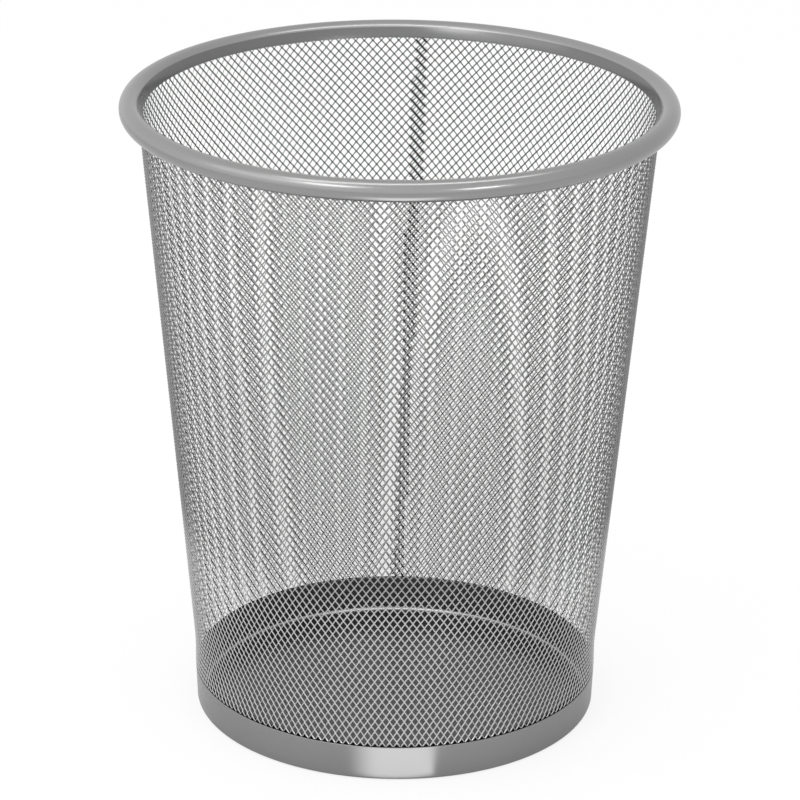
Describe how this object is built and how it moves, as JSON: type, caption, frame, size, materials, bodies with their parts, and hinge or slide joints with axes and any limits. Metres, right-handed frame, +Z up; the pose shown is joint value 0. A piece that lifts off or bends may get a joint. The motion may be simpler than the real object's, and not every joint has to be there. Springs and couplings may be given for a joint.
{
  "type": "wastebasket",
  "caption": "Round tapered open-topped wastebasket of expanded metal mesh, with a rolled tube rim, a plain foot band and a flat pressed floor.",
  "frame": {"origin": "on the axis of the basket, on the surface that its floor pan stands on", "axes": "+Z up along the basket's axis, -Y towards the viewer of the picture, with the mesh's lapped seam near +Y"},
  "size_m": [0.295, 0.295, 0.3468],
  "materials": {
    "silver_paint": "satin silver-grey powder coat on steel"
  },
  "bodies": {
    "root": {"rim": "silver_paint", "mesh_wall": "silver_paint", "base_band": "silver_paint", "floor_pan": "silver_paint"}
  },
  "joints": []
}
